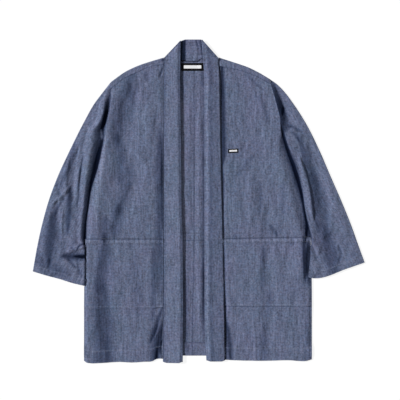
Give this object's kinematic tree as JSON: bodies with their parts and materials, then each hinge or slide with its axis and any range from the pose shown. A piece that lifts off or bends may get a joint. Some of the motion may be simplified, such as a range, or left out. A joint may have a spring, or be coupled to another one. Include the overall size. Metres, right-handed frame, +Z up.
{
  "type": "kimono jacket",
  "caption": "Open-fronted kimono jacket in indigo chambray, laid flat face up, with a long folded neckband, wide sleeves and patch pockets below the waist seam.",
  "frame": {"origin": "centre of the jacket's outline, on the surface that it lies on", "axes": "+X to the wearer's left, across the sleeves; +Y from the hem to the neck; +Z up out of the front, away from the surface"},
  "size_m": [0.887, 0.863, 0.0118],
  "materials": {
    "chambray": "matt indigo slub chambray, right side",
    "chambray_inside": "matt indigo slub chambray, wrong side",
    "label_tape": "woven black tape with a plain white middle"
  },
  "bodies": {
    "root": {"back_upper_left": "chambray_inside", "back_upper_right": "chambray_inside", "back_lower_left": "chambray_inside", "back_lower_right": "chambray_inside", "front_upper_left": "chambray", "front_upper_right": "chambray", "front_lower_left": "chambray", "front_lower_right": "chambray", "pocket_left": "chambray", "pocket_right": "chambray", "sleeve_left": "chambray", "sleeve_right": "chambray", "neckband_left": "chambray", "neckband_right": "chambray", "neckband_back": "chambray_inside", "neck_label": "label_tape", "chest_label": "label_tape"}
  },
  "joints": []
}
